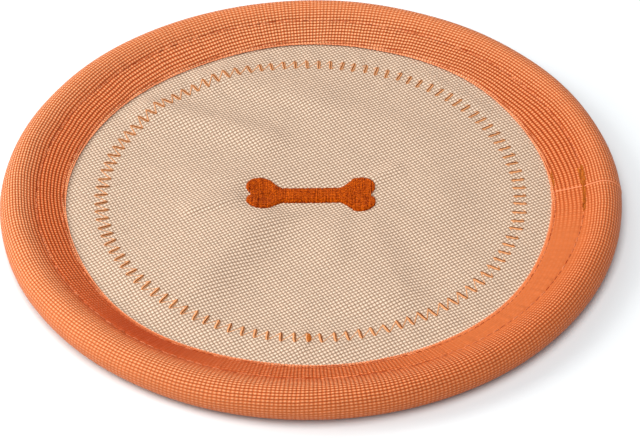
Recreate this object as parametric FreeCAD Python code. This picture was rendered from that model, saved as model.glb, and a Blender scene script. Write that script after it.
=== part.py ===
"""Soft fabric flying disc: a tube rim in a sewn sleeve, with a closed woven centre.

Millimetres. +Z is up, the disc lies flat, and the origin is on its axis at the
level it rests on. Every sub-part is written to parts/NODE.step.
"""
import FreeCAD
import Part
import math
import os

V = FreeCAD.Vector
UP = V(0, 0, 1)
ORIGIN = V(0, 0, 0)
TURN = 2 * math.pi

# Overall size
DISC_RADIUS = 115.0

# Layers, from the top down at the channel: sleeve, panel, foam, panel, sleeve
SLEEVE_T = 0.6
HEM_T = 1.2  # the sleeve's edge is folded once, so it is two layers thick
PANEL_T = 0.6
FOAM_T = 0.5

# Rim section
RIM_A = 6.3
RIM_R = DISC_RADIUS - RIM_A
REST_WIDTH = 2.0  # the sleeve is flattened where the disc rests
RIM_Z = math.sqrt(RIM_A**2 - (REST_WIDTH / 2) ** 2)
HOSE_ROOM = 0.1
HOSE_OUTER = RIM_A - SLEEVE_T - HOSE_ROOM
HOSE_INNER = 4.4

# Seams, as radii from the disc's axis
CHANNEL_R = 101.1
CHANNEL_TOP_Z = 10.0
HEM_R = 90.5
HEM_STITCH_R = 91.6
PANEL_TOP_Z = 5.8
PANEL_EDGE_R = 102.2
STACK_T = 2 * PANEL_T + FOAM_T
PANEL_LOW_Z = PANEL_TOP_Z - STACK_T
CHANNEL_LOW_Z = CHANNEL_TOP_Z - STACK_T - 2 * SLEEVE_T

# Outer faces of the flat bands, each from its hem to the channel, as (radius, height)
TOP_BAND = ((HEM_R, PANEL_TOP_Z + HEM_T), (CHANNEL_R, CHANNEL_TOP_Z))
LOW_BAND = ((HEM_R, PANEL_LOW_Z - HEM_T), (CHANNEL_R, CHANNEL_LOW_Z))

# Hose joint, across from the sleeve's join
HOSE_JOINT_AZ = 179.0
COLLAR_LENGTH = 1.2
PLUG_LENGTH = 30.0

# Sleeve's join, a radial seam
JOIN_AZ = -0.6
JOIN_WIDTH = 0.5
JOIN_DEPTH = 0.3

# Threads, as they lie on the cloth: (width, height) where a pair
THREAD_W = 0.5
THREAD_H = 0.3
FINE = (0.35, 0.2)
DOUBLED = (1.1, 0.3)  # two runs side by side
LIFT = 0.01  # keeps a straight stitch clear of the curved cloth under it
STRAIGHT_PITCH = 3.2
HEM_PITCH = 2.6
STITCH_GAP = 0.35

ZIGZAG_R = 77.7
ZIGZAG_SWING = 4.5
ZIGZAG_CYCLES = 105
ZIGZAG_LEAN = 0.24  # part of a cycle taken by the nearly radial bar
ZIGZAG_LOCK_AZ = -90.0
LOCK_W = 1.1

CHANNEL_BACKTACK = (-8.6, 6.2)  # azimuths of the golden overlap
HEM_BACKTACK = (0.8, 7.4)

# Embroidered bone
BONE_LENGTH = 47.6
BONE_SPAN = 18.4
BONE_SHAFT = 8.0
BONE_LOBE_R = 5.3
BONE_LOBE_END = math.radians(125)
BONE_NOTCH = 1.5
BONE_FLARE_SAG = 0.5
BONE_SHAFT_HALF = 10.6
BONE_T = 0.9
BONE_TURN = 1.3  # the embroidery is sewn a little askew and off centre
BONE_SHIFT = -0.7


def rim_point(angle, radius):
    """Point at this angle on a circle about the rim's section centre."""
    return V(RIM_R + radius * math.cos(angle), 0, RIM_Z + radius * math.sin(angle))


def tangent_angle(point, radius, side):
    """Angle at which a line from point touches the rim circle; side is +1 above, -1 below."""
    dr = point.x - RIM_R
    dz = point.z - RIM_Z
    return math.atan2(dz, dr) % TURN - side * math.acos(radius / math.hypot(dr, dz))


def line(a, b):
    return Part.LineSegment(a, b).toShape()


def arc(a, mid, b):
    return Part.Arc(a, mid, b).toShape()


def rim_arc(start, end, radius):
    """Arc of the rim circle from one angle to the other, through their middle."""
    middle = (start + end) / 2
    return arc(rim_point(start, radius), rim_point(middle, radius), rim_point(end, radius))


def revolve(edges, turn=360.0, start=0.0):
    """Solid of revolution about Z from a closed section of edges in the XZ plane."""
    face = Part.Face(Part.Wire(Part.__sortEdges__(edges)))
    solid = face.revolve(ORIGIN, UP, turn)
    solid.rotate(ORIGIN, UP, start)
    return solid


def path(points):
    """Straight edges from each point to the next."""
    return [line(a, b) for a, b in zip(points, points[1:])]


def panel_climb(depth):
    """Points outward along the panels' top face, moved down by depth, from the hem to the edge."""
    return [
        V(HEM_R, 0, PANEL_TOP_Z - depth),
        V(CHANNEL_R, 0, CHANNEL_TOP_Z - SLEEVE_T - depth),
        V(PANEL_EDGE_R, 0, CHANNEL_TOP_Z - SLEEVE_T - depth),
    ]


def layer(depth, thickness):
    """One disc-shaped layer of the centre, its top this far below the panels' top face."""
    top = [V(0, 0, PANEL_TOP_Z - depth)] + panel_climb(depth)
    low = [V(0, 0, PANEL_TOP_Z - depth - thickness)] + panel_climb(depth + thickness)
    return revolve(path(top + low[::-1] + top[:1]))


def sleeve_outer(depth):
    """Edges from the top hem to the bottom one, this deep below the sleeve's outer face."""
    radius = RIM_A - depth
    rest = math.asin(REST_WIDTH / 2 / RIM_A)
    down = 0.75 * TURN
    top = [V(r, 0, z - depth) for r, z in TOP_BAND]
    low = [V(r, 0, z + depth) for r, z in reversed(LOW_BAND)]
    above = tangent_angle(top[-1], radius, 1)
    below = tangent_angle(low[0], radius, -1)
    return (
        path(top + [rim_point(above, radius)])
        + [rim_arc(above, down + rest - TURN, radius)]
        + path([rim_point(down + rest, radius), rim_point(down - rest, radius)])
        + [rim_arc(down - rest, below, radius)]
        + path([rim_point(below, radius)] + low)
    )


def sleeve_inner():
    """Edges along the sleeve's inner face, from the bottom hem round the hose to the top one."""
    radius = RIM_A - SLEEVE_T
    top = panel_climb(0.0)
    low = panel_climb(STACK_T)
    above = tangent_angle(top[-1], radius, 1)
    below = tangent_angle(low[-1], radius, -1)
    return (
        path(low + [rim_point(below, radius)])
        + [rim_arc(below - TURN, above, radius)]
        + path([rim_point(above, radius)] + top[::-1])
    )


def closed(first, second):
    """The two runs of edges joined at both ends by straight lines."""
    ends = [path_ends(first), path_ends(second)]
    caps = [line(ends[0][1], ends[1][0]), line(ends[1][1], ends[0][0])]
    return first + second + caps


def path_ends(edges):
    """First and last point of a run of edges."""
    wire = Part.Wire(edges)
    points = [v.Point for v in wire.OrderedVertexes]
    return points[0], points[-1]


def rim_sleeve():
    """Cloth strip wound round the hose, with its hems turned under and pinched at the channel."""
    sleeve = revolve(closed(sleeve_outer(0.0), sleeve_inner()))
    return sleeve.cut(join_strip(-0.2, JOIN_DEPTH, JOIN_WIDTH))


def join_strip(shallow, deep, width):
    """A radial strip at the sleeve's join that follows its outer face between two depths."""
    start_out, end_out = path_ends(sleeve_outer(shallow))
    start_in, end_in = path_ends(sleeve_outer(deep))
    caps = [line(start_out, start_in), line(end_out, end_in)]
    turn = math.degrees(width / RIM_R)
    return revolve(sleeve_outer(shallow) + sleeve_outer(deep) + caps, turn, JOIN_AZ - turn / 2)


def rim_tube():
    """Hollow hose bent into a hoop, with room between its ends for the joiner's collar."""
    gap = math.degrees(COLLAR_LENGTH / RIM_R)
    return hoop(HOSE_OUTER, 360 - gap, HOSE_JOINT_AZ + gap / 2, HOSE_INNER)


def hoop(outer, turn, start, inner=0.0):
    """Part of a torus about the rim's section centre."""
    centre = V(RIM_R, 0, RIM_Z)
    along = V(0, 1, 0)
    face = Part.Face(Part.Wire(Part.makeCircle(outer, centre, along)))
    if inner:
        face = face.cut(Part.Face(Part.Wire(Part.makeCircle(inner, centre, along))))
    solid = face.revolve(ORIGIN, UP, turn)
    solid.rotate(ORIGIN, UP, start)
    return solid.Solids[0]


def tube_joiner():
    """Plug inside the hose ends, with a collar between them."""
    collar = math.degrees(COLLAR_LENGTH / RIM_R)
    plug = math.degrees(PLUG_LENGTH / RIM_R)
    rod = hoop(HOSE_INNER, plug, HOSE_JOINT_AZ - plug / 2)
    return rod.fuse(hoop(HOSE_OUTER, collar, HOSE_JOINT_AZ - collar / 2)).removeSplitter()


def stitch(length, width, height):
    """One straight stitch along Y, lying on the XY plane, with its upper edges taken off."""
    box = Part.makeBox(width, length, height, V(-width / 2, -length / 2, 0))
    upper = [e for e in box.Edges if min(v.Z for v in e.Vertexes) > height / 2]
    return box.makeChamfer(height * 0.4, upper)


def band_row(band, radius, pitch, thread, span=(0.0, 360.0)):
    """Straight stitches end to end round the axis, lying on the outer face of a band of cloth."""
    (r0, z0), (r1, z1) = band
    slope = (z1 - z0) / (r1 - r0)
    outward = -1 if band == LOW_BAND else 1
    one = stitch(pitch - STITCH_GAP, *thread)
    if outward < 0:
        one.rotate(ORIGIN, V(0, 1, 0), 180)
    one.rotate(ORIGIN, V(0, 1, 0), -math.degrees(math.atan(slope)))
    one.translate(V(radius, 0, z0 + slope * (radius - r0) + outward * LIFT))
    sweep = span[1] - span[0]
    count = round(math.radians(sweep) * radius / pitch)
    row = []
    for i in range(count):
        copy = one.copy()
        copy.rotate(ORIGIN, UP, span[0] + (i + 0.5) * sweep / count)
        row.append(copy)
    return Part.makeCompound(row)


def rest_of_ring(span):
    """The part of a full turn that an overlap leaves free."""
    return span[1], 360 + span[0]


def polar(r, degrees, z):
    return V(r * math.cos(math.radians(degrees)), r * math.sin(math.radians(degrees)), z)


def flat_bar(a, b, width, height):
    """A straight thread between two points of a level face."""
    along = b - a
    bar = stitch(along.Length + width * 0.6, width, height)
    bar.rotate(ORIGIN, UP, math.degrees(math.atan2(along.y, along.x)) - 90)
    bar.translate((a + b) * 0.5)
    return bar


def zigzag(z, height, lock_width):
    """Zig-zag ring on a level face: in each cycle a nearly radial bar and a slanting return."""
    step = 360.0 / ZIGZAG_CYCLES
    outer = ZIGZAG_R + ZIGZAG_SWING / 2
    inner = ZIGZAG_R - ZIGZAG_SWING / 2
    row = []
    for i in range(ZIGZAG_CYCLES):
        a = ZIGZAG_LOCK_AZ + i * step
        bar_ends = polar(outer, a, z), polar(inner, a + ZIGZAG_LEAN * step, z)
        back_ends = polar(inner + THREAD_W, a + 0.44 * step, z), polar(outer - THREAD_W, a + 0.8 * step, z)
        row.append(flat_bar(*bar_ends, lock_width if i == 0 else THREAD_W, height))
        row.append(flat_bar(*back_ends, FINE[0], height * 0.8))
    return Part.makeCompound(row)


def bone_quarter(sx, sy):
    """Outline of one quarter of the bone, from the notch at its end round a lobe to the shaft."""
    centre = V(BONE_LENGTH / 2 - BONE_LOBE_R, BONE_SPAN / 2 - BONE_LOBE_R, 0)
    notch = V(BONE_LENGTH / 2 - BONE_NOTCH, 0, 0)
    neck = V(BONE_SHAFT_HALF, BONE_SHAFT / 2, 0)
    lobe = centre + V(math.cos(BONE_LOBE_END), math.sin(BONE_LOBE_END), 0) * BONE_LOBE_R
    tip = centre + V(1, 0, 0) * BONE_LOBE_R
    flare = (lobe + neck) * 0.5 - V(0, BONE_FLARE_SAG, 0)
    points = [V(p.x * sx, p.y * sy, 0) for p in (notch, tip, lobe, flare, neck)]
    return [arc(*points[:3]), arc(*points[2:])]


def bone_outline():
    """Face of the bone: a shaft that flares into two lobes at each end."""
    edges = []
    for sx in (-1, 1):
        for sy in (-1, 1):
            edges += bone_quarter(sx, sy)
    for sy in (-1, 1):
        y = sy * BONE_SHAFT / 2
        edges.append(line(V(-BONE_SHAFT_HALF, y, 0), V(BONE_SHAFT_HALF, y, 0)))
    return Part.Face(Part.Wire(Part.__sortEdges__(edges)))


def bone_embroidery():
    """Raised pad of thread in the shape of a bone."""
    pad = bone_outline().extrude(V(0, 0, BONE_T))
    pad.rotate(ORIGIN, UP, BONE_TURN)
    pad.translate(V(0, BONE_SHIFT, PANEL_TOP_Z))
    return pad


def sleeve_join_thread():
    """Fine thread that lies in the groove of the sleeve's join."""
    return join_strip(0.12, JOIN_DEPTH, 0.25)


def centre_nodes():
    """The closed centre and what is sewn on it."""
    bobbin_height = THREAD_H * 0.8
    return {
        "top_panel": layer(0.0, PANEL_T),
        "panel_interlining": layer(PANEL_T, FOAM_T),
        "bottom_panel": layer(PANEL_T + FOAM_T, PANEL_T),
        "bone_embroidery": bone_embroidery(),
        "zigzag_needle_thread": zigzag(PANEL_TOP_Z, THREAD_H, LOCK_W),
        "zigzag_bobbin_thread": zigzag(PANEL_LOW_Z - bobbin_height, bobbin_height, THREAD_W),
    }


def rim_nodes():
    """The rim, and the stitching that closes it."""
    seam_r = CHANNEL_R - 0.4
    return {
        "rim_sleeve": rim_sleeve(),
        "rim_tube": rim_tube(),
        "tube_joiner": tube_joiner(),
        "channel_needle_thread": band_row(
            TOP_BAND, seam_r, STRAIGHT_PITCH, FINE, rest_of_ring(CHANNEL_BACKTACK)
        ),
        "channel_bobbin_thread": band_row(LOW_BAND, seam_r, STRAIGHT_PITCH, FINE),
        "channel_backtack": band_row(TOP_BAND, seam_r - 0.3, STRAIGHT_PITCH, DOUBLED, CHANNEL_BACKTACK),
        "hem_needle_thread": band_row(
            TOP_BAND, HEM_STITCH_R, HEM_PITCH, FINE, rest_of_ring(HEM_BACKTACK)
        ),
        "hem_bobbin_thread": band_row(LOW_BAND, HEM_STITCH_R, HEM_PITCH, FINE),
        "hem_backtack": band_row(TOP_BAND, HEM_STITCH_R, HEM_PITCH, (THREAD_W, THREAD_H), HEM_BACKTACK),
        "sleeve_join_thread": sleeve_join_thread(),
    }


def main():
    os.makedirs("parts", exist_ok=True)
    for name, shape in {**rim_nodes(), **centre_nodes()}.items():
        shape.exportStep("parts/%s.step" % name)


main()
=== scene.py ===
"""A soft fabric flying disc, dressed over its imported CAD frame.

The woven sleeve, the centre panels, every row of stitching and the embroidered
bone are meshes made here. Lengths are millimetres until a mesh is made.
"""
import bpy
import math
import numpy as np
from mathutils import Matrix, Vector


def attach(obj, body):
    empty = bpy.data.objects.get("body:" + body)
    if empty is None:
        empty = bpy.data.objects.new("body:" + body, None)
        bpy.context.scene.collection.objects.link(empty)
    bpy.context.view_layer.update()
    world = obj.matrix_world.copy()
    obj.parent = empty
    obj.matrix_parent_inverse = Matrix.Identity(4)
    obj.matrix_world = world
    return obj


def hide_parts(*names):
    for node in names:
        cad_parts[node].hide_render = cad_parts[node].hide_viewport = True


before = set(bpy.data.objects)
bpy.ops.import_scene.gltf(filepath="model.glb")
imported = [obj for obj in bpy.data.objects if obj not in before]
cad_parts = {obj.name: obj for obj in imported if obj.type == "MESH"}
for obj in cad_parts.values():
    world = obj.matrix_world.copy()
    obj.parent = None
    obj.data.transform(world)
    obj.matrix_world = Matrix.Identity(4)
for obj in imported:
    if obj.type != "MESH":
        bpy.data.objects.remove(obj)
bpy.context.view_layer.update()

MM = 0.001
TURN = 2 * math.pi
BODY = "root"

# Sizes taken from the CAD model: _R is a distance from the disc's axis, _T a thickness, _AZ an azimuth
DISC_RADIUS = 115.0
RIM_A = 6.3  # radius of the rim's round section
RIM_R = DISC_RADIUS - RIM_A
RIM_Z = 6.22
CHANNEL_R = 101.1  # the seam that closes the tube's channel, and its heights above and below
CHANNEL_TOP = 10.0
CHANNEL_LOW = 7.1
HEM_R = 90.5
HEM_T = 1.1
PANEL_TOP = 5.8
STACK_T = 1.7  # both panels and the foam
SLEEVE_T = 0.6
PANEL_CLIMB = (CHANNEL_TOP - SLEEVE_T - PANEL_TOP) / (CHANNEL_R - HEM_R)
JOIN_AZ = math.radians(-0.6)

# The strip and its yarns
STRIP_YARNS = 473  # yarns across it, counted round the rim
STRIP_SLANT = 23  # yarns by which the strip's two ends are out of line
BAND_YARN = 1.36  # spacing of the yarns along it, on the flat bands and over the tube
RIM_YARN = 1.12
FILAMENTS = 6
SKIN_ROWS = 98
SKIN_COLUMNS = 960

# The centre and its yarns
PANEL_EDGE_R = 96.5
PANEL_YARN = (1.28, 1.41)
PANEL_YARN_TURN = math.radians(28.7)
PANEL_SAG = 1.1
FOAM_EDGE_R = 96
FOAM_DROPS = (0.66, 1.04)  # from the top panel down to the foam's two faces

# Stitching
ZIGZAG_R = 77.7
ZIGZAG_SWING = 5.2
ZIGZAG_CYCLES = 105
ZIGZAG_STEPS = 11
ZIGZAG_LEAN = ((0, -0.09, 0), (1, 0.1, 30))  # waves round the ring, in parts of a cycle
RETURNS_SHOW = ((1, 136, 40), (0.6, -58, 14), (0.25, -110, 75))  # how much, azimuth, width
ZIGZAG_LOCK_AZ = math.radians(-90.6)
LOCK_SPACING = 0.0026  # radians between the piled stitches
CHANNEL_STITCHES = 198
HEM_STITCHES = 221
CHANNEL_OVERLAP = (math.radians(-9.2), math.radians(6.2))
HEM_OVERLAP = (math.radians(0.8), math.radians(7.4))
HEM_SEAM = 1.5  # from a hem's fold to its stitches
THREAD = (0.38, 0.3)  # width and thickness
LEAST_HEIGHT = 0.22  # keeps the join's threads off the ground

# Embroidered bone: its lobes are (x, y, radius) at the left and at the right end
BONE_TIP = 24.0
BONE_LOBES = ((18.6, 4.0, 5.4), (18.3, 4.3, 5.7))
BONE_LOBE_JOIN = (15.4, 8.6)
BONE_NECK = (10.6, 4.4)
BONE_NOTCH_X = 22.3
BONE_STRAND = 0.37
BONE_TURN = math.radians(0.5)
BONE_SHIFT = 0.1
BONE_RAISE = 0.75

rng = np.random.default_rng(7)


# ---------------------------------------------------------------- meshes

def add_piece(name, points, faces, material, stands_for, attributes):
    """A smooth mesh piece from millimetre points that rides on the disc and stands for CAD nodes."""
    mesh = bpy.data.meshes.new(name)
    mesh.from_pydata((points * MM).tolist(), [], faces)
    mesh.shade_smooth()
    for key, values in attributes.items():
        layer = mesh.attributes.new(key, "FLOAT_VECTOR", "POINT")
        layer.data.foreach_set("vector", values.astype(np.float32).ravel())
    mesh.materials.append(material)
    piece = bpy.data.objects.new(name, mesh)
    bpy.context.scene.collection.objects.link(piece)
    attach(piece, BODY)
    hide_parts(*stands_for)
    return piece


def grid_faces(rows, columns, closed_rows=False, closed_columns=False):
    """Quads over a grid of points numbered row by row."""
    i = np.arange(rows if closed_rows else rows - 1)
    j = np.arange(columns if closed_columns else columns - 1)
    i, j = (a.ravel() for a in np.meshgrid(i, j, indexing="ij"))
    i2, j2 = (i + 1) % rows, (j + 1) % columns
    return np.stack([i * columns + j, i * columns + j2, i2 * columns + j2, i2 * columns + j], axis=1)


def bump(x, width):
    """1 at x = 0, falling smoothly to almost nothing at twice the width."""
    return np.exp(-((x / width) ** 2))


def waves(azimuth, terms):
    """Sum of waves round the disc, each (count, height, phase in degrees)."""
    return sum(h * np.cos(n * azimuth - math.radians(p)) for n, h, p in terms)


def away(azimuth, degrees, width):
    """Bump round the disc, centred at an azimuth; both in degrees."""
    off = (np.degrees(azimuth) - degrees + 180) % 360 - 180
    return bump(off, width)


def random_waves(low, high, count, height):
    """Sum of small waves of random counts between low and high that never line up, like puckers."""
    terms = [
        (int(n), height * rng.uniform(0.4, 1.0) / math.sqrt(count), rng.uniform(0, 360))
        for n in rng.integers(low, high, count)
    ]
    return lambda azimuth: waves(azimuth, terms)


# ---------------------------------------------------------------- the sleeve's shape

# Waves (count round the disc, height, phase) by which the hem's line leaves its circle
HEM_WANDER = (
    (1, 1.6, -100),
    (2, 0.65, 150),
    (3, 0.64, -151),
    (4, 0.28, -145),
    (5, 0.35, 89),
    (6, 0.2, -53),
    (8, 0.25, 28),
)
PUCKER_BAND = random_waves(70, 190, 14, 0.2)
PUCKER_RIM = random_waves(60, 150, 12, 0.14)
SLOW_SWELL = random_waves(3, 17, 8, 0.16)


def arc_points(centre, radius, start, end, count):
    """Points along an arc between two angles in degrees."""
    angles = np.radians(np.linspace(start, end, count))
    return np.stack([centre[0] + radius * np.cos(angles), centre[1] + radius * np.sin(angles)], axis=1)


def tangent_angle(r, z, side):
    """Angle in degrees at which cloth from (r, z) meets the rim; side is +1 above, -1 below."""
    dr, dz = r - RIM_R, z - RIM_Z
    to_point = math.degrees(math.atan2(dz, dr)) % 360
    return to_point - side * math.degrees(math.acos(RIM_A / math.hypot(dr, dz)))


def sleeve_section():
    """Line (r, z) of the sleeve's skin, from inside the top hem round the rim to inside the bottom one."""
    above = tangent_angle(CHANNEL_R, CHANNEL_TOP, 1)
    below = tangent_angle(CHANNEL_R, CHANNEL_LOW, -1)
    fold = HEM_T / 2
    hidden = HEM_R + 5
    top_fold = (HEM_R + fold, PANEL_TOP + fold)
    low_fold = (HEM_R + fold, PANEL_TOP - STACK_T - fold)
    climb = PANEL_CLIMB * (hidden - HEM_R)
    return np.concatenate([
        [(hidden, PANEL_TOP + climb + 0.05)],
        arc_points(top_fold, fold, 270, 90, 30),
        [(CHANNEL_R, CHANNEL_TOP)],
        arc_points((RIM_R, RIM_Z), RIM_A, above, below - 360, 300),
        [(CHANNEL_R, CHANNEL_LOW)],
        arc_points(low_fold, fold, 270, 90, 30),
        [(hidden, PANEL_TOP - STACK_T + climb - 0.05)],
    ])


class Section:
    """The sleeve's section by length along it, with its corners rounded off."""

    def __init__(self):
        line = sleeve_section()
        length = self.run(line)
        step = 0.05
        reach = 24
        rounding = 0.42
        even = np.arange(0, length[-1], step)
        dense = np.stack([np.interp(even, length, line[:, k]) for k in (0, 1)], axis=1)
        kernel = bump(np.arange(-reach, reach + 1) * step, rounding)
        kernel /= kernel.sum()
        padded = np.pad(dense, ((reach, reach), (0, 0)), mode="edge")
        self.line = np.stack([np.convolve(padded[:, k], kernel, "valid") for k in (0, 1)], axis=1)
        self.at = self.run(self.line)
        along = np.gradient(self.line, self.at, axis=0)
        along /= np.linalg.norm(along, axis=1)[:, None]
        self.normal = np.stack([-along[:, 1], along[:, 0]], axis=1)
        self.length = self.at[-1]
        half = len(self.line) // 2
        near = np.hypot(self.line[:, 0] - CHANNEL_R, self.line[:, 1] - CHANNEL_TOP)
        self.channel_top = self.at[near.argmin()]
        near = np.hypot(self.line[:, 0] - CHANNEL_R, self.line[:, 1] - CHANNEL_LOW)
        self.channel_low = self.at[near.argmin()]
        self.fold_top = self.at[self.line[:half, 0].argmin()]
        self.fold_low = self.at[half + self.line[half:, 0].argmin()]

    @staticmethod
    def run(line):
        """Length along a line, at each of its points."""
        return np.concatenate([[0], np.cumsum(np.linalg.norm(np.diff(line, axis=0), axis=1))])

    def point(self, s):
        """Radii and heights at lengths s."""
        return [np.interp(s, self.at, self.line[:, k]) for k in (0, 1)]

    def facing(self, s):
        """Outward directions at lengths s, as their radial and upward parts."""
        return [np.interp(s, self.at, self.normal[:, k]) for k in (0, 1)]

    def yarns(self, s):
        """Number of round-the-rim yarns passed by length s: they lie closer together over the tube."""
        line = np.linspace(0, self.length, 2000)
        pitch = BAND_YARN + (RIM_YARN - BAND_YARN) * self.over_tube(line, 1.0)
        count = np.concatenate([[0], np.cumsum(np.diff(line) / pitch[1:])])
        return np.interp(s, line, count)

    def over_tube(self, s, softness=1.2):
        """1 where the cloth is stretched over the tube, 0 on the flat bands."""
        past_top = (s - self.channel_top - 3) / softness
        past_low = (s - self.channel_low + 3) / softness
        return 1 / (1 + np.exp(-past_top)) / (1 + np.exp(past_low))

    def painted_sheen(self, azimuth, s):
        """Painted sheen: how pale the cloth is made where it would catch the light, palest over the tube,
        along the folded hems and on the band's far side.
        """
        tube = self.over_tube(s)
        hems = bump(s - self.fold_top, 1.1) + bump(s - self.fold_low, 1.1)
        far = 0.9 * away(azimuth, 90, 60)
        return tube * (1 - 0.75 * away(azimuth, -45, 65)) + hems + (1 - tube) * far

    def relief(self, azimuth, s):
        """How clear the weave is, in its bump and in how much of the painted shade and highlight show: it
        varies round the tube, clearest where the left light rakes across it, and two stretches of the band
        are smooth.
        """
        smooth = np.clip(1.8 * away(azimuth, -36, 26), 0, 1) + np.clip(1.3 * away(azimuth, -124, 20), 0, 0.9)
        band = 1 - self.over_tube(s)
        outermost = 0.5 * bump(s - self.length / 2, 6)
        clearer = 0.14 * away(azimuth, 172, 35) + 0.18 * away(azimuth, -75, 40)
        fainter = 0.06 * away(azimuth, -140, 20) + 0.1 * away(azimuth, 90, 40)
        tube = 0.74 + clearer - fainter - outermost
        return tube * (1 - band) + band * (1 - smooth)

    def shade(self, azimuth, s):
        """Painted shade: where the band is darker, at the near left, on the inner slope that faces away from
        the left light.
        """
        band = 1 - self.over_tube(s)
        return band * away(azimuth, -128, 26)

    def rows(self, count):
        """Lengths at which to put rows of points: close together at the folds and seams."""
        s = np.linspace(0, self.length, 4000)
        spots = (self.fold_top, self.channel_top, self.channel_low, self.fold_low)
        density = 1 + 1.8 * sum(bump(s - spot, 1.5) for spot in spots)
        share = np.concatenate([[0], np.cumsum((density[1:] + density[:-1]) / 2)])
        return np.interp(np.linspace(0, share[-1], count), share, s)


section = Section()


def pulled_in(azimuth, s):
    """How far the stitches pull the skin in along the four seams, deepest at each needle hole."""
    to_top, to_low = s - section.channel_top, s - section.channel_low
    past_folds = s - section.fold_top - HEM_SEAM, s - section.fold_low + HEM_SEAM
    holes_channel = 0.5 + 0.5 * np.cos(CHANNEL_STITCHES * (azimuth - JOIN_AZ))
    holes_hem = 0.5 + 0.5 * np.cos(HEM_STITCHES * (azimuth - JOIN_AZ))
    channel = (0.14 + 0.14 * holes_channel) * (bump(to_top, 0.5) + bump(to_low, 0.5))
    beside_channel = 0.12 * (bump(to_top, 2.0) + bump(to_low, 2.0))
    hems = (0.1 + 0.16 * holes_hem) * (bump(past_folds[0], 0.5) + bump(past_folds[1], 0.5))
    return channel + beside_channel + hems


def puckered(azimuth, s):
    """How far puckers stand out beside the channel's seams, with a slow swell over the tube."""
    to_top, to_low = s - section.channel_top, s - section.channel_low
    band = np.where(to_top < 0, np.exp(to_top / 4.0), 0) + np.where(to_low > 0, np.exp(-to_low / 4.0), 0)
    rim = np.where(to_top > 0, np.exp(-to_top / 3.0), 0) + np.where(to_low < 0, np.exp(to_low / 3.0), 0)
    swell = SLOW_SWELL(azimuth + 0.02 * s) * bump(to_top - 12, 10)
    return PUCKER_BAND(azimuth) * band * (1 - bump(to_top, 0.7)) + PUCKER_RIM(azimuth) * rim + swell


def join_groove(azimuth, r):
    """Groove where the strip's two ends meet, with a low ridge on each side."""
    across = (azimuth - JOIN_AZ + math.pi) % TURN - math.pi
    off = np.abs(across) * r
    return 0.16 * bump(off - 1.3, 0.8) - 0.45 * bump(off, 0.45)


def sleeve_skin(azimuth, s, lift=0.0):
    """Points of the sleeve's skin, and its outward directions, at azimuths and lengths along the section."""
    r, z = section.point(s)
    nr, nz = section.facing(s)
    hem_top = bump(s - section.fold_top - 2, 6)
    hem_low = bump(s - section.fold_low + 2, 6)
    wander = waves(azimuth, HEM_WANDER)
    r = r + wander * hem_top + 0.6 * wander * hem_low
    z = z + 0.12 * wander * (hem_top + hem_low)
    out = puckered(azimuth, s) - pulled_in(azimuth, s) + join_groove(azimuth, r) + lift
    r = r + nr * out
    z = np.maximum(z + nz * out, 0)
    points = np.stack([r * np.cos(azimuth), r * np.sin(azimuth), z], axis=-1)
    facing = np.stack([nr * np.cos(azimuth), nr * np.sin(azimuth), nz + 0 * azimuth], axis=-1)
    return points, facing


def make_sleeve(material):
    """The strip round the rim, one sheet with its ends meeting at the join."""
    rows = section.rows(SKIN_ROWS)
    azimuths = JOIN_AZ + np.linspace(0, TURN, SKIN_COLUMNS + 1)
    s, azimuth = (a.ravel() for a in np.meshgrid(rows, azimuths, indexing="ij"))
    points, _ = sleeve_skin(azimuth, s)
    turns = (azimuth - JOIN_AZ) / TURN
    attributes = {
        "yarns": np.stack([turns * STRIP_YARNS, section.yarns(s) + turns * STRIP_SLANT, 0 * turns], axis=1),
        # Per point: painted sheen, the weave's relief, and painted shade.
        "painted_light_and_relief": np.stack(
            [section.painted_sheen(azimuth, s), section.relief(azimuth, s), section.shade(azimuth, s)], axis=1
        ),
    }
    faces = grid_faces(len(rows), len(azimuths))[:, ::-1].tolist()
    piece = add_piece("woven_sleeve", points, faces, material, ["rim_sleeve"], attributes)


# ---------------------------------------------------------------- the centre's shape

# Folds raised in the slack top panel, most of them pulled up by the embroidery: start, end, width of the
# steep side, how many times wider the other side is, and height. The steep side is on the left, looking
# from start to end, or on the right where the height is written as negative.
PANEL_FOLDS = (
    ((0, 56), (-36, 70), 6.0, 2.0, 1.5),
    ((-62, 52), (-18, 35), 6.0, 1.2, 1.9),
    ((-43, -9), (-28, -4), 3.2, 2.0, -1.2),
    ((-38, -44), (-17, -8), 11.0, 2.8, -3.2),
    ((8, -34), (10, -12), 5.0, 2.4, -0.8),
    ((30, -52), (22, -24), 8.0, 2.4, -1.4),
    ((28, -8), (60, -40), 5.0, 2.0, 0.5),
    ((48, 3), (49, -4), 10.0, 1.4, 1.2),
    ((24, 10), (31, 15), 2.4, 1.5, 0.8),
    ((-56, 13), (-26, 9), 3.0, 1.5, 0.45),
    ((30, -58), (0, -57), 6.0, 2.5, 0.7),
    ((19, 90), (19.5, 76), 1.8, 1.0, -0.4),
    ((-4, -78), (-3, -90), 3.0, 1.0, -0.6),
    ((50, 66), (66, 50), 4.0, 1.0, -0.6),
    ((14, 50), (44, 34), 7.0, 2.0, 0.8),
)
RING_RIPPLE = random_waves(11, 60, 12, 0.16)


def fold(x, y, start, end, width, wider, height):
    """Height at (x, y) of one of the long soft folds listed in PANEL_FOLDS."""
    dx, dy = end[0] - start[0], end[1] - start[1]
    length = math.hypot(dx, dy)
    along = ((x - start[0]) * dx + (y - start[1]) * dy) / length
    to_right = ((x - start[0]) * dy - (y - start[1]) * dx) / length * np.sign(height)
    past_end = np.maximum(np.maximum(-along, along - length), 0)
    across = np.where(to_right > 0, to_right / (width * wider), to_right / width)
    return abs(height) * bump(across, 1) * bump(past_end, 1.6 * width)


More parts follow.
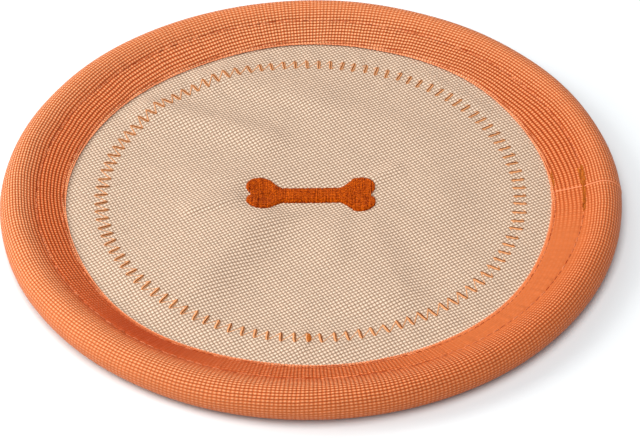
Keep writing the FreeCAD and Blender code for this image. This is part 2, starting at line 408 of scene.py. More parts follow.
def panel_top(x, y):
    """Height of the top panel: slack and folded in the middle, crowned outside the zig-zag, then climbing."""
    r = np.hypot(x, y)
    azimuth = np.arctan2(y, x)
    inside = np.clip(1 - (r / 84) ** 2, 0, 1)
    z = PANEL_TOP - PANEL_SAG * inside**0.8
    z = z + PANEL_CLIMB * np.clip(r - HEM_R, 0, None)
    folds = sum(fold(x, y, *shape) for shape in PANEL_FOLDS)
    stiff = bump((x / 27) ** 2 + (y / 12) ** 2, 1)
    clear_of_band = 1 / (1 + np.exp((r - 84) / 1.2))
    z = z + folds * (1 - stiff) * clear_of_band
    z = z + (0.15 + 0.75 * away(azimuth, -97, 62)) * bump(r - 79.5, 6.5)
    z = z - 0.2 * bump(r - ZIGZAG_R, 2.4)
    return z + RING_RIPPLE(azimuth) * (bump(r - 83.5, 5) + 0.5 * bump(r - 70, 6))


def disc_grid(radius, spacing, turn):
    """Square grid of points turned to the weave and kept inside a circle, with its quads."""
    count = int(radius / spacing) + 1
    line = np.arange(-count, count + 1) * spacing
    gy, gx = np.meshgrid(line, line, indexing="ij")
    c, s = math.cos(turn), math.sin(turn)
    x = (c * gx - s * gy).ravel()
    y = (s * gx + c * gy).ravel()
    faces = grid_faces(len(line), len(line))
    keep = (np.hypot(x, y)[faces] < radius).all(axis=1)
    faces = faces[keep]
    used = np.unique(faces)
    number = np.zeros(len(x), int)
    number[used] = np.arange(len(used))
    return x[used], y[used], number[faces]


def make_panels(material):
    """The two woven panels of the centre, each a sheet."""
    for name, node, drop, spacing, side in (
        ("woven_top_panel", "top_panel", 0.0, 0.62, 1),
        ("woven_bottom_panel", "bottom_panel", STACK_T, 0.9, -1),
    ):
        x, y, faces = disc_grid(PANEL_EDGE_R, spacing, PANEL_YARN_TURN)
        points = np.stack([x, y, panel_top(x, y) - drop], axis=1)
        piece = add_piece(name, points, faces[:, ::side].tolist(), material, [node], {})


def make_interlining(material):
    """Foam between the panels, closed at its edge."""
    radii = np.concatenate([[0.01], np.linspace(3, FOAM_EDGE_R, 46)])
    azimuths = np.linspace(0, TURN, 193)[:-1]
    loops = []
    for drop, order in zip(FOAM_DROPS, (radii, radii[::-1])):
        r, a = np.meshgrid(order, azimuths, indexing="ij")
        x, y = (r * np.cos(a)).ravel(), (r * np.sin(a)).ravel()
        loops.append(np.stack([x, y, panel_top(x, y) - drop], axis=1))
    points = np.concatenate(loops)
    faces = grid_faces(2 * len(radii), len(azimuths), closed_rows=True, closed_columns=True).tolist()
    piece = add_piece("foam_interlining", points, faces, material, ["panel_interlining"], {})


# ---------------------------------------------------------------- threads

def thread_mesh(paths, ups, widths, heights, sides=8, tones=(0.0, 1.0)):
    """Oval threads along paths of the same number of points.

    Gives points, faces and, at each point, marks: length along the thread, turn round it and its own tone.
    """
    paths = np.asarray(paths)
    count, steps, _ = paths.shape
    along = np.gradient(paths, axis=1)
    along /= np.linalg.norm(along, axis=2, keepdims=True)
    side = np.cross(along, np.broadcast_to(ups, paths.shape))
    side /= np.linalg.norm(side, axis=2, keepdims=True)
    up = np.cross(side, along)
    angles = np.arange(sides) * TURN / sides
    taper = np.sin(np.linspace(0.12, math.pi - 0.12, steps)) ** 0.25
    half_widths = np.broadcast_to(widths, (count,))[:, None] / 2 * taper
    half_heights = np.broadcast_to(heights, (count,))[:, None] / 2 * taper
    ring = (
        paths[:, :, None]
        + side[:, :, None] * np.cos(angles)[:, None] * half_widths[..., None, None]
        + up[:, :, None] * np.sin(angles)[:, None] * half_heights[..., None, None]
    )
    starts = np.arange(count) * steps * sides
    quads = grid_faces(steps, sides, closed_columns=True)
    faces = (quads + starts[:, None, None]).reshape(-1, 4).tolist()
    for start in starts.tolist():
        last = start + (steps - 1) * sides
        faces.append(list(range(start, start + sides))[::-1])
        faces.append(list(range(last, last + sides)))
    lengths = np.linalg.norm(np.diff(paths, axis=1), axis=2)
    run = np.concatenate([np.zeros((count, 1)), np.cumsum(lengths, axis=1)], axis=1)
    tone = rng.uniform(*tones, count)
    marks = [run[:, :, None], angles / TURN, tone[:, None, None]]
    marks = np.stack([np.broadcast_to(mark, ring.shape[:3]) for mark in marks], axis=-1)
    return ring.reshape(-1, 3), faces, marks.reshape(-1, 3)


def add_threads(name, runs, material, stands_for):
    """One piece from several thread runs, each (points, faces, marks)."""
    faces, offset = [], 0
    for points, run_faces, _ in runs:
        faces += [[offset + i for i in face] for face in run_faces]
        offset += len(points)
    points = np.concatenate([run[0] for run in runs])
    marks = np.concatenate([run[2] for run in runs])
    add_piece(name, points, faces, material, stands_for, {"thread": marks})


def arch(steps, sink, rise, sharp=2.4):
    """Height of a stitch along its length: out of one hole, over the cloth, into the next."""
    t = np.linspace(0, 1, steps)
    return -sink + (sink + rise) * np.minimum(1, np.sin(math.pi * t) * sharp)


def seam_row(s, count, span, thread, rise=0.1, shift=0.0, pinch=0.93, tones=(0.0, 0.6)):
    """Straight stitches on the sleeve's skin, at length s along its section.

    thread is (width, thickness), rise the arch's height, shift a part of a stitch by which the row starts
    later, and pinch the share of its pitch that each stitch covers.
    """
    steps = 9
    pitch = TURN / count
    first = math.ceil((span[0] - JOIN_AZ) / pitch - shift - 1e-6)
    last = math.floor((span[1] - JOIN_AZ) / pitch - shift + 1e-6)
    starts = JOIN_AZ + (np.arange(first, last) + shift) * pitch
    t = np.linspace((1 - pinch) / 2, (1 + pinch) / 2, steps)
    azimuth = starts[:, None] + t * pitch
    wobble = rng.normal(0, 0.05, (len(starts), 1)) + 0 * azimuth
    points, facing = sleeve_skin(azimuth, s + wobble)
    paths = points + facing * arch(steps, 0.22, rise)[:, None]
    return thread_mesh(paths, facing, thread[0], thread[1], tones=tones)


def polar(r, azimuth):
    """Points (x, y) at radii and azimuths."""
    return np.stack([r * np.cos(azimuth), r * np.sin(azimuth)], axis=-1)


def zigzag_ends(azimuths):
    """Outer and inner ends of the ring's nearly radial bars."""
    pitch = TURN / ZIGZAG_CYCLES
    swing = rng.normal(0, 0.12, (ZIGZAG_CYCLES, 2))
    turn = rng.normal(0, 0.05, (ZIGZAG_CYCLES, 2)) * pitch
    lean = waves(azimuths, ZIGZAG_LEAN) * pitch
    outer = polar(ZIGZAG_R + ZIGZAG_SWING / 2 + swing[:, 0], azimuths + turn[:, 0])
    inner = polar(ZIGZAG_R - ZIGZAG_SWING / 2 + swing[:, 1], azimuths + lean + turn[:, 1])
    return outer, inner


def lay_on_panel(start, end, aside, lift, underside):
    """Paths over the panel between points, a little aside and swaying, at heights above the cloth."""
    way = end - start
    way /= np.linalg.norm(way, axis=1)[:, None]
    across = np.stack([-way[:, 1], way[:, 0]], axis=1)[:, None]
    t = np.linspace(0, 1, ZIGZAG_STEPS)[:, None]
    flat = start[:, None] * (1 - t) + end[:, None] * t + across * (aside + 0.08 * np.sin(TURN * t))
    z = panel_top(flat[..., 0], flat[..., 1])
    z = z - STACK_T - lift if underside else z + lift
    return np.concatenate([flat, z[..., None]], axis=2)


def zigzag_row(underside=False):
    """The zig-zag ring: bars of a pale strand with a dark strand down its middle as painted shade, and
    returns that mostly sink into the cloth.
    """
    azimuths = ZIGZAG_LOCK_AZ + np.arange(ZIGZAG_CYCLES) * TURN / ZIGZAG_CYCLES
    outer, inner = zigzag_ends(azimuths)
    next_inner = np.roll(inner, -1, axis=0)
    hump = arch(ZIGZAG_STEPS, 0.16, 0.1)
    sunk = 0.1 - 0.32 * np.sin(np.linspace(0, math.pi, ZIGZAG_STEPS))
    showing = sum(share * away(azimuths, degrees, width) for share, degrees, width in RETURNS_SHOW)
    showing = np.clip(showing, 0, 1)[:, None]
    returned = sunk * (1 - showing) + 0.12 * showing
    runs = []
    for ends, aside, width, height, lift, tones in (
        (inner, 0.12, 1.35, 0.42, hump, (0.8, 1.0)),
        # Dark strand: painted shade down the middle of each bar.
        (inner, -0.05, 0.46, 0.3, hump + 0.24, (0.0, 0.2)),
        (next_inner, 0.0, 0.44, 0.32, returned, (0.75, 1.0)),
    ):
        paths = lay_on_panel(outer, ends, aside, lift, underside)
        runs.append(thread_mesh(paths, (0, 0, 1), width, height, tones=tones))
    return runs


def lock_bar():
    """Stitches piled on one another where the zig-zag ring starts and ends."""
    paths = []
    for off in range(-3, 4):
        azimuth = ZIGZAG_LOCK_AZ + off * LOCK_SPACING
        reach = ZIGZAG_SWING / 2 - 0.09 * off**2 + rng.uniform(-0.1, 0.2)
        r = ZIGZAG_R + reach * np.linspace(-1, 1, ZIGZAG_STEPS)
        x, y = r * math.cos(azimuth), r * math.sin(azimuth)
        lift = 0.1 + 0.1 * (3 - abs(off))
        paths.append(np.stack([x, y, panel_top(x, y) + arch(ZIGZAG_STEPS, 0.2, lift)], axis=1))
    return thread_mesh(paths, (0, 0, 1), 0.5, 0.42, tones=(0.3, 0.6))


# ---------------------------------------------------------------- embroidery

def bone_reach(x):
    """Nearest and furthest distance of the bone's outline from its own axis, at distance x along it."""
    cx, cy, radius = BONE_LOBES[int(x > 0)]
    x = abs(x)
    if x <= BONE_NECK[0]:
        return 0.0, BONE_NECK[1]
    if x < BONE_LOBE_JOIN[0]:
        t = (x - BONE_NECK[0]) / (BONE_LOBE_JOIN[0] - BONE_NECK[0])
        return 0.0, BONE_NECK[1] + (BONE_LOBE_JOIN[1] - BONE_NECK[1]) * t ** 1.35
    half = math.sqrt(max(radius**2 - (x - cx) ** 2, 0))
    near = max(cy - half, 0.0) if x > BONE_NOTCH_X else 0.0
    return near, cy + half


def bone_strands():
    """Spans across the bone, each (x, low y, high y), one strand apart."""
    spans = []
    for x in np.arange(-BONE_TIP + 0.25, BONE_TIP - 0.2, BONE_STRAND):
        near, far = bone_reach(x)
        if near > 0:
            spans += [(x, near, far), (x, -far, -near)]
        elif far > 6:
            cut = rng.uniform(-0.35, 0.35) * far
            spans += [(x, -far, cut + 0.3), (x, cut - 0.3, far)]
        else:
            spans.append((x, -far, far))
    return spans


def bone_place(x, y, z):
    """A point of the embroidery on the panel, from its own flat coordinates and height."""
    c, s = math.cos(BONE_TURN), math.sin(BONE_TURN)
    px = c * x - s * y
    py = s * x + c * y + BONE_SHIFT
    return np.stack([px, py, panel_top(px, py) + z], axis=-1)


def bone_raise(x, y):
    """Height of the embroidery's padding above the panel."""
    reach = np.array([bone_reach(v) for v in np.ravel(x)]).reshape(*np.shape(x), 2)
    edge = np.minimum(reach[..., 1] - np.abs(y), BONE_TIP + 0.3 - np.abs(x))
    edge = np.where(reach[..., 0] > 0, np.minimum(edge, np.abs(y) - reach[..., 0]), edge)
    return BONE_RAISE * (1 - np.exp(-np.clip(edge, 0, None) / 0.8))


def make_bone(material):
    """Two layers of strands across the bone, over a closed padding."""
    steps = 9
    paths = []
    for layer in range(2):
        for x, low, high in bone_strands():
            lean = rng.normal(0, 0.16) + 0.25
            ragged = rng.uniform(-0.12, 0.28, 2)
            t = np.linspace(0, 1, steps)
            y = low - ragged[0] + (high - low + ragged.sum()) * t
            px = x + rng.normal(0, 0.06) + lean * (t - 0.5) + layer * 0.18
            z = bone_raise(px, y) - 0.16 + layer * 0.1 + arch(steps, 0.14, 0.12, 3.0)
            paths.append(bone_place(px, y, z))
    strands = thread_mesh(paths, (0, 0, 1), rng.uniform(0.38, 0.5, len(paths)), 0.3, sides=6)
    add_threads("embroidered_bone", [strands, bone_pad()], material, ["bone_embroidery"])


def bone_pad():
    """Closed padding under the strands, from the notch at one end to the notch at the other."""
    xs = np.linspace(-BONE_NOTCH_X, BONE_NOTCH_X, 90)
    across = np.linspace(-1, 1, 17)
    far = np.array([bone_reach(x)[1] for x in xs]) - 0.25
    x = np.broadcast_to(xs[:, None], (len(xs), len(across)))
    y = far[:, None] * across[None, :]
    top = bone_place(x, y, bone_raise(x, y) - 0.12)
    low = bone_place(x[:, ::-1], y[:, ::-1], np.full_like(y, -0.1))
    loops = np.concatenate([top, low], axis=1)
    ring = loops.shape[1]
    faces = grid_faces(len(xs), ring, closed_columns=True).tolist()
    faces.append(list(range(ring))[::-1])
    faces.append([(len(xs) - 1) * ring + k for k in range(ring)])
    points = loops.reshape(-1, 3)
    marks = np.stack([points[:, 1], points[:, 0] * 0, np.full(len(points), 0.3)], axis=1)
    return points, faces, marks


# ---------------------------------------------------------------- materials

def srgb(*channels):
    """Linear colour, with alpha, from sRGB channels of 0 to 255."""
    linear = [(c / 255 / 12.92) if c <= 10 else ((c / 255 + 0.055) / 1.055) ** 2.4 for c in channels]
    return (*linear, 1.0)


class Shader:
    """A material's node tree with one Principled shader and short ways to add nodes."""

    def __init__(self, name, **constants):
        self.material = bpy.data.materials.new(name)
        self.material.use_nodes = True
        self.tree = self.material.node_tree
        self.main = self.tree.nodes["Principled BSDF"]
        for socket, value in constants.items():
            self.main.inputs[socket.replace("_", " ")].default_value = value

    def add(self, kind, inputs=(), **settings):
        """A node of a kind, with its settings and its inputs, which are values or sockets."""
        node = self.tree.nodes.new(kind)
        for key, value in settings.items():
            setattr(node, key, value)
        for socket, value in dict(inputs).items():
            self.put(node.inputs[socket], value)
        return node

    def put(self, socket, value):
        """Link a socket to an input, or set the input to a plain value."""
        if isinstance(value, bpy.types.NodeSocket):
            self.tree.links.new(value, socket)
        else:
            socket.default_value = value

    def math(self, operation, *values):
        node = self.tree.nodes.new("ShaderNodeMath")
        node.operation = operation
        for socket, value in zip(node.inputs, values):
            self.put(socket, value)
        return node.outputs[0]

    def mix(self, share, a, b):
        """Colour between a and b."""
        node = self.add("ShaderNodeMix", data_type="RGBA")
        self.put(node.inputs["Factor"], share)
        self.put(node.inputs[6], a)
        self.put(node.inputs[7], b)
        return node.outputs[2]

    def blend(self, share, a, b):
        """Number between a and b."""
        node = self.add("ShaderNodeMix", data_type="FLOAT")
        self.put(node.inputs["Factor"], share)
        self.put(node.inputs[2], a)
        self.put(node.inputs[3], b)
        return node.outputs[0]

    def aim(self, share, a, b):
        """Vector between a and b."""
        node = self.add("ShaderNodeMix", data_type="VECTOR")
        self.put(node.inputs["Factor"], share)
        self.put(node.inputs[4], a)
        self.put(node.inputs[5], b)
        return node.outputs[1]

    def vector(self, operation, *values):
        node = self.tree.nodes.new("ShaderNodeVectorMath")
        node.operation = operation
        for socket, value in zip(node.inputs, values):
            self.put(socket, value)
        return node.outputs[0]

    def noise(self, at, scale, detail=2.0):
        node = self.add("ShaderNodeTexNoise", {"Vector": at, "Scale": scale, "Detail": detail})
        return node.outputs[0]

    def split(self, vector):
        return self.add("ShaderNodeSeparateXYZ", {0: vector}).outputs

    def waver(self, value, place, scale, reach, step):
        """The value plus a slow random drift of up to half the reach each way."""
        drift = self.noise(self.vector("ADD", place, (step, step, step)), scale)
        return self.math("MULTIPLY_ADD", self.math("SUBTRACT", drift, 0.5), reach, value)

    def raise_relief(self, height, strength, distance):
        """Bump the surface by a height; the distance is in metres."""
        relief = self.add("ShaderNodeBump", {"Height": height, "Strength": strength, "Distance": distance})
        self.put(self.main.inputs["Normal"], relief.outputs[0])

    def steps(self, value, low, high):
        """0 below low, 1 above high, smooth between."""
        node = self.add("ShaderNodeMapRange", {"Value": value, "From Min": low, "From Max": high})
        node.interpolation_type = "SMOOTHSTEP"
        return node.outputs[0]


def yarn_height(shader, along, across, sign):
    """Height of a round yarn that waves over and under the ones it crosses."""
    wave = shader.math("MULTIPLY", shader.math("COSINE", shader.math("MULTIPLY", along, math.pi)), sign)
    flat = shader.math("MULTIPLY", across, 1.9)
    section = shader.math("SQRT", shader.math("SUBTRACT", 1.0, shader.math("MULTIPLY", flat, flat)))
    return shader.math("MULTIPLY_ADD", wave, 0.45, section)


def woven(shader, u, v, along_u, along_v, colours, ribs, relief, strength=1.0):
    """Plain weave over yarn coordinates u and v.

    colours are (painted shade in the gaps between yarns, yarn, painted highlight on a yarn's crown); ribs is
    how far the gaps that run across u sink, 0 to 1;
    relief is the bump's distance in metres and strength how much of it shows.
    """
    place = shader.add("ShaderNodeTexCoord").outputs["Object"]
    u = shader.waver(shader.waver(u, place, 30.0, 1.6, 0.3), place, 420.0, 0.25, 0.5)
    v = shader.waver(shader.waver(v, place, 26.0, 1.6, 0.7), place, 400.0, 0.25, 0.9)
    cell_u, cell_v = shader.math("FLOOR", u), shader.math("FLOOR", v)
    in_u = shader.math("SUBTRACT", shader.math("SUBTRACT", u, cell_u), 0.5)
    in_v = shader.math("SUBTRACT", shader.math("SUBTRACT", v, cell_v), 0.5)
    odd = shader.math("FLOORED_MODULO", shader.math("ADD", cell_u, cell_v), 2.0)
    sign = shader.math("MULTIPLY_ADD", odd, 2.0, -1.0)
    high_u = yarn_height(shader, in_u, in_v, sign)
    high_v = yarn_height(shader, in_v, in_u, shader.math("MULTIPLY", sign, -1.0))
    top_u = shader.math("GREATER_THAN", high_u, high_v)
    dome_u, dome_v = (shader.math("COSINE", shader.math("MULTIPLY", part, math.pi)) for part in (in_u, in_v))
    dome = shader.math("MULTIPLY", shader.math("MULTIPLY_ADD", dome_u, ribs, 1 - ribs), dome_v)
    number = shader.math("MULTIPLY_ADD", top_u, 0.37, shader.blend(top_u, cell_u, cell_v))
    shader.put(shader.main.inputs["Base Color"], cloth_colour(shader, place, dome, number, colours))
    shader.put(shader.main.inputs["Roughness"], shader.blend(shader.steps(dome, 0.1, 0.7), 0.8, 0.42))
    height = shader.math("MULTIPLY_ADD", dome, 0.9, shader.math("MAXIMUM", high_u, high_v))
    across = shader.blend(top_u, in_u, in_v)
    filament = shader.math("SINE", shader.math("MULTIPLY", across, TURN * FILAMENTS))
    height = shader.math("MULTIPLY_ADD", filament, 0.03, height)
    shader.raise_relief(height, strength, relief)
    shader.put(shader.main.inputs["Tangent"], shader.aim(top_u, along_v, along_u))
    return shader.material


def cloth_colour(shader, place, dome, number, colours):
    """Colour from painted shade between the yarns through the yarn to a painted highlight on its crown, a
    little different for each numbered yarn and along it.
    """
    painted_gap_shade, yarn, painted_crest_highlight = colours
    own = shader.add("ShaderNodeTexWhiteNoise", {"W": number}, noise_dimensions="1D").outputs["Value"]
    tone = shader.math("MULTIPLY_ADD", own, 0.08, 0.92)
    tone = shader.math("ADD", tone, shader.math("MULTIPLY", shader.noise(place, 260.0), 0.1))
    # Painted shade where the dome is low, and a painted highlight near its top.
    cloth = shader.mix(shader.steps(dome, 0.0, 0.75), painted_gap_shade, yarn)
    cloth = shader.mix(shader.math("MULTIPLY", shader.steps(dome, 0.7, 1.0), 0.6), cloth, painted_crest_highlight)
    return shader.add("ShaderNodeVectorMath", {0: cloth, "Scale": tone}, operation="SCALE").outputs[0]


def cream_cloth():
    """Cloth of the centre, woven in straight lines at an angle to the bone."""
    shader = Shader("cream_oxford_cloth", Sheen_Weight=0.05, Sheen_Roughness=0.5, Specular_IOR_Level=0.8,
                    Anisotropic=0.6)
    place = shader.add("ShaderNodeTexCoord").outputs["Object"]
    c, s = math.cos(PANEL_YARN_TURN), math.sin(PANEL_YARN_TURN)
    u, v = (
        shader.add("ShaderNodeVectorMath", {0: place, 1: [a / (pitch * MM) for a in way]},
                   operation="DOT_PRODUCT")
        for way, pitch in zip(((c, s, 0), (-s, c, 0)), PANEL_YARN)
    )
    # Painted shade in the gaps, the yarn's own colour, and a painted highlight on the yarns' crowns.
    colours = srgb(144, 111, 85), srgb(215, 186, 160), srgb(235, 211, 188)
    return woven(shader, u.outputs["Value"], v.outputs["Value"], (c, s, 0), (-s, c, 0), colours, 0.8, 0.00024)


def orange_cloth():
    """Cloth of the strip: it reads the yarn numbers that the sleeve's mesh carries, and its painted sheen,
    weave relief and painted shade.
    """
    shader = Shader("orange_oxford_cloth", Specular_IOR_Level=0.25, Specular_Tint=srgb(255, 206, 168),
                    Anisotropic=0.7)
    yarns = shader.split(shader.add("ShaderNodeAttribute", attribute_name="yarns").outputs["Vector"])
    painted_light_and_relief = shader.split(shader.add("ShaderNodeAttribute", attribute_name="painted_light_and_relief").outputs["Vector"])
    place = shader.add("ShaderNodeTexCoord").outputs["Object"]
    face = shader.add("ShaderNodeNewGeometry").outputs["True Normal"]
    round_rim = shader.vector("NORMALIZE", shader.vector("CROSS_PRODUCT", (0, 0, 1), place))
    over_rim = shader.vector("CROSS_PRODUCT", face, round_rim)
    painted_sheen, relief, shade = painted_light_and_relief
    # Painted shade darkens the band at the near left; painted sheen pales the cloth over the tube, along the
    # folds and on the far band.
    band_flat_colour = shader.mix(shade, srgb(188, 97, 50), srgb(160, 58, 20))
    band_yarn = shader.mix(shade, srgb(206, 102, 46), srgb(172, 68, 24))
    flat_colour = shader.mix(painted_sheen, band_flat_colour, srgb(208, 114, 66))
    yarn = shader.mix(painted_sheen, band_yarn, srgb(222, 140, 88))
    # The colour in the yarns' gaps is painted shade, and the colour on their crowns a painted highlight.
    painted_gap_shade = shader.mix(painted_sheen, srgb(146, 40, 2), srgb(150, 46, 6))
    painted_crest_highlight = shader.mix(painted_sheen, srgb(242, 166, 122), srgb(252, 208, 172))
    # Where the relief is low, the painted shade and highlight give way to one flat colour.
    colours = [shader.mix(relief, flat_colour, colour) for colour in (painted_gap_shade, yarn, painted_crest_highlight)]
    return woven(shader, yarns[0], yarns[1], round_rim, over_rim, colours, 0.65, 0.00028, relief)


def thread_material(name, dark, light, ply=0.55, roughness=0.45, gloss=0.35, fleck=0.0):
    """Twisted sewing thread, striped along its length; ply is the twist's pitch in millimetres."""
    shader = Shader(name, Specular_IOR_Level=gloss, Specular_Tint=light)
    marks = shader.split(shader.add("ShaderNodeAttribute", attribute_name="thread").outputs["Vector"])
    turns = shader.math("ADD", shader.math("DIVIDE", marks[0], ply), shader.math("MULTIPLY", marks[1], 2.0))
    ply_height = shader.math("ABSOLUTE", shader.math("SINE", shader.math("MULTIPLY", turns, math.pi)))
    # The tone darkens in the twist's grooves: painted shade between the plies.
    tone = shader.math("MULTIPLY", marks[2], shader.math("MULTIPLY_ADD", ply_height, 0.5, 0.6))
    if fleck:
        place = shader.add("ShaderNodeTexCoord").outputs["Object"]
        flecks = shader.steps(shader.noise(place, 1300.0), 0.38, 0.62)
        tone = shader.blend(fleck, tone, flecks)
    shader.put(shader.main.inputs["Base Color"], shader.mix(tone, dark, light))
    shader.put(shader.main.inputs["Roughness"], shader.blend(ply_height, roughness + 0.2, roughness))
    shader.raise_relief(ply_height, 0.8, 0.00008)
    return shader.material


def moulded(name, colour, grain, roughness):
    """Plain moulded plastic or foam with a fine grain."""
    shader = Shader(name)
    place = shader.add("ShaderNodeTexCoord").outputs["Object"]
    rough = shader.noise(place, grain, 4.0)
    shader.put(shader.main.inputs["Base Color"], shader.mix(rough, colour, srgb(235, 235, 235)))
    shader.put(shader.main.inputs["Roughness"], shader.blend(rough, roughness, roughness + 0.2))
    shader.raise_relief(rough, 0.5, 0.0001)
    return shader.material


# ---------------------------------------------------------------- the whole disc

def join_row():
    """Ridge beside the groove where the sleeve's ends meet, and short stitches across it, from hem to hem."""
    steps = 7
    pitch, length = 1.7, 1.15
    edge = np.linspace(section.fold_top + 0.3, section.fold_low - 0.3, 260)
    path, facing = sleeve_skin(np.full(edge.size, JOIN_AZ - 0.006), edge, -0.02)
    path[:, 2] = np.maximum(path[:, 2], LEAST_HEIGHT)
    ridge = thread_mesh(path[None], facing[None], 0.8, 0.42, tones=(0.7, 0.7))
    starts = np.arange(section.fold_top + 0.5, section.fold_low - 0.5, pitch)
    s = starts[:, None] + length * np.linspace(0, 1, steps)
    points, facing = sleeve_skin(np.full(s.shape, JOIN_AZ), s)
    paths = points + facing * arch(steps, 0.1, 0.16)[:, None]
    paths[..., 2] = np.maximum(paths[..., 2], LEAST_HEIGHT)
    return [ridge, thread_mesh(paths, facing, 0.34, 0.28)]


def sew_seams(orange, tack):
    """The seams that close the tube's channel and hold the hems, above and below, and their overlaps."""
    whole = (JOIN_AZ, JOIN_AZ + TURN)
    clear_channel = (CHANNEL_OVERLAP[1], TURN + CHANNEL_OVERLAP[0])
    clear_hem = (HEM_OVERLAP[1], TURN + HEM_OVERLAP[0])
    hem_top = section.fold_top + HEM_SEAM
    hem_low = section.fold_low - HEM_SEAM
    add_threads("channel_needle_stitches",
                [seam_row(section.channel_top, CHANNEL_STITCHES, clear_channel, THREAD)],
                orange, ["channel_needle_thread"])
    add_threads("channel_bobbin_stitches", [seam_row(section.channel_low, CHANNEL_STITCHES, whole, THREAD)],
                orange, ["channel_bobbin_thread"])
    # Beads along the top hem's fold, one per yarn: the yarns' crowns bent over the fold, in the thread's
    # palest tones as a painted highlight.
    fold_beads_with_highlight = seam_row(section.fold_top + 0.15, STRIP_YARNS, whole, (0.72, 0.5), 0.08, 0.0, 0.84, (0.9, 1.0))
    add_threads("hem_needle_stitches", [seam_row(hem_top, HEM_STITCHES, clear_hem, THREAD), fold_beads_with_highlight],
                orange, ["hem_needle_thread"])
    add_threads("hem_bobbin_stitches", [seam_row(hem_low, HEM_STITCHES, whole, THREAD)],
                orange, ["hem_bobbin_thread"])
    full, from_join = CHANNEL_OVERLAP, (JOIN_AZ, CHANNEL_OVERLAP[1])
    past_join = (JOIN_AZ / 2, CHANNEL_OVERLAP[1])
    overlap = [
        seam_row(section.channel_top + off, CHANNEL_STITCHES, span, (0.5, 0.38), 0.16, shift)
        for off, shift, span in (
            (-0.85, 0.2, from_join),
            (-0.4, 0.0, full),
            (0.0, 0.37, full),
            (0.4, 0.7, full),
            (0.8, 0.5, past_join),
        )
    ]
    add_threads("channel_overlap_stitches", overlap, tack, ["channel_backtack"])
    overlap = [
        seam_row(hem_top + off, HEM_STITCHES, HEM_OVERLAP, (0.42, 0.34), 0.16, shift)
        for off, shift in ((-0.2, 0.0), (0.2, 0.5))
    ]
    add_threads("hem_overlap_stitches", overlap, tack, ["hem_backtack"])


def dress_disc():
    """Every piece of the disc, and the materials of the two CAD pieces inside the rim."""
    golden = thread_material("golden_thread", srgb(100, 46, 14), srgb(228, 160, 108))
    tack = thread_material("overlap_thread", srgb(150, 68, 12), srgb(226, 132, 50))
    orange = thread_material("orange_thread", srgb(160, 60, 20), srgb(250, 164, 118))
    bone = thread_material("bone_thread", srgb(112, 28, 0), srgb(202, 90, 10), ply=1.4, gloss=0.2, fleck=0.5)
    make_sleeve(orange_cloth())
    make_panels(cream_cloth())
    make_interlining(moulded("foam", srgb(220, 220, 214), 900.0, 0.8))
    for node, material in (
        ("rim_tube", moulded("hose_plastic", srgb(70, 70, 72), 300.0, 0.45)),
        ("tube_joiner", moulded("joiner_plastic", srgb(170, 168, 160), 300.0, 0.4)),
    ):
        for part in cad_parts[node].material_slots:
            part.material = material
    add_threads("zigzag_needle_stitches", zigzag_row(), golden, ["zigzag_needle_thread"])
    add_threads("zigzag_lock_stitches", [lock_bar()], tack, ["zigzag_needle_thread"])
    add_threads("zigzag_bobbin_stitches", zigzag_row(underside=True), golden, ["zigzag_bobbin_thread"])
    sew_seams(orange, tack)
    add_threads("join_stitches", join_row(), orange, ["sleeve_join_thread"])
    make_bone(bone)


dress_disc()

# ---------------------------------------------------------------- stage, light and camera

CAMERA_ELEVATION = math.radians(41.41)
CAMERA_ROLL = math.radians(0.44)
CAMERA_DISTANCE = 0.960
CAMERA_AIM = Vector((3.35, -14.83, RIM_Z)) * MM
LENS = 147.1

FLOOR_SIDE = 8.0

# Metres, and for each softbox its name, azimuth, elevation, power (W) and colour
SOFTBOX_DISTANCE = 1.3
SOFTBOX_SIDE = 0.7
SOFTBOXES = (
    ("left_softbox", 172, 31, 13.2, (1.0, 0.97, 0.93)),
    ("front_softbox", 262, 52, 6.2, (1.0, 0.98, 0.95)),
    ("top_softbox", 260, 78, 8.3, (1.0, 0.98, 0.95)),
    ("back_softbox", 125, 45, 4.5, (1.0, 0.98, 0.95)),
)
WORLD_COLOUR = (0.85, 0.93, 1.0, 1.0)
WORLD_STRENGTH = 0.3


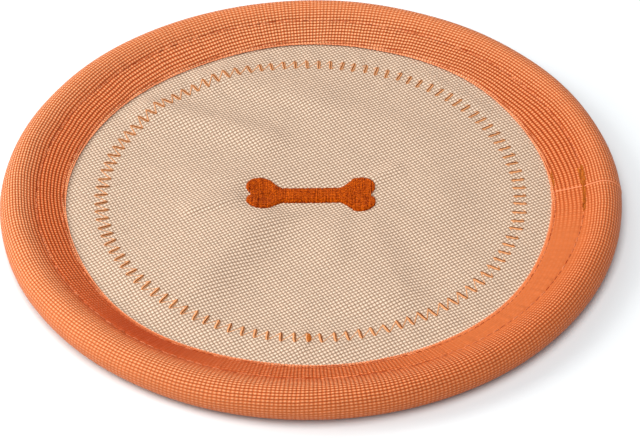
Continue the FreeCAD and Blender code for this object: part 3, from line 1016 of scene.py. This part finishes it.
def make_floor():
    """Pale floor at the level that the rim rests on."""
    shader = Shader("floor", Roughness=0.9, Specular_IOR_Level=0.1)
    place = shader.add("ShaderNodeTexCoord").outputs["Object"]
    tone = shader.noise(place, 2.0)
    shader.put(shader.main.inputs["Base Color"], shader.mix(tone, srgb(222, 227, 231), srgb(230, 232, 234)))
    mesh = bpy.data.meshes.new("floor")
    half = FLOOR_SIDE / 2
    corners = [(-half, -half, 0), (half, -half, 0), (half, half, 0), (-half, half, 0)]
    mesh.from_pydata(corners, [], [(0, 1, 2, 3)])
    mesh.materials.append(shader.material)
    floor = bpy.data.objects.new("floor", mesh)
    bpy.context.scene.collection.objects.link(floor)


def add_softbox(name, way, power, colour):
    """Square area light in one direction from the disc, aimed at it."""
    data = bpy.data.lights.new(name, "AREA")
    data.shape = "RECTANGLE"
    data.size = data.size_y = SOFTBOX_SIDE
    data.energy = power
    data.color = colour
    light = bpy.data.objects.new(name, data)
    light.location = way * SOFTBOX_DISTANCE
    light.rotation_mode = "QUATERNION"
    light.rotation_quaternion = (-way).to_track_quat("-Z", "Y")
    bpy.context.scene.collection.objects.link(light)


def light_scene():
    """A faint bluish surrounding light and the softboxes."""
    world = bpy.data.worlds.new("studio")
    world.use_nodes = True
    back = world.node_tree.nodes["Background"]
    back.inputs["Color"].default_value = WORLD_COLOUR
    back.inputs["Strength"].default_value = WORLD_STRENGTH
    bpy.context.scene.world = world
    for name, azimuth, elevation, power, colour in SOFTBOXES:
        a, e = math.radians(azimuth), math.radians(elevation)
        way = Vector((math.cos(e) * math.cos(a), math.cos(e) * math.sin(a), math.sin(e)))
        add_softbox(name, way, power, colour)


def make_camera():
    """Long lens in front of the disc and above it, turned a little about its own axis."""
    data = bpy.data.cameras.new("camera")
    data.lens = LENS
    data.sensor_width = 36.0
    data.clip_start = 0.05
    data.clip_end = 50.0
    camera = bpy.data.objects.new("camera", data)
    e = CAMERA_ELEVATION
    back = Vector((0, -math.cos(e), math.sin(e)))
    up = Vector((0, math.sin(e), math.cos(e)))
    right = Vector((1, 0, 0))
    c, s = math.cos(CAMERA_ROLL), math.sin(CAMERA_ROLL)
    axes = Matrix((c * right - s * up, s * right + c * up, back)).transposed().to_4x4()
    camera.matrix_world = Matrix.Translation(CAMERA_AIM + back * CAMERA_DISTANCE) @ axes
    bpy.context.scene.collection.objects.link(camera)
    bpy.context.scene.camera = camera


make_floor()
light_scene()
make_camera()
bpy.context.scene.view_settings.view_transform = "Standard"
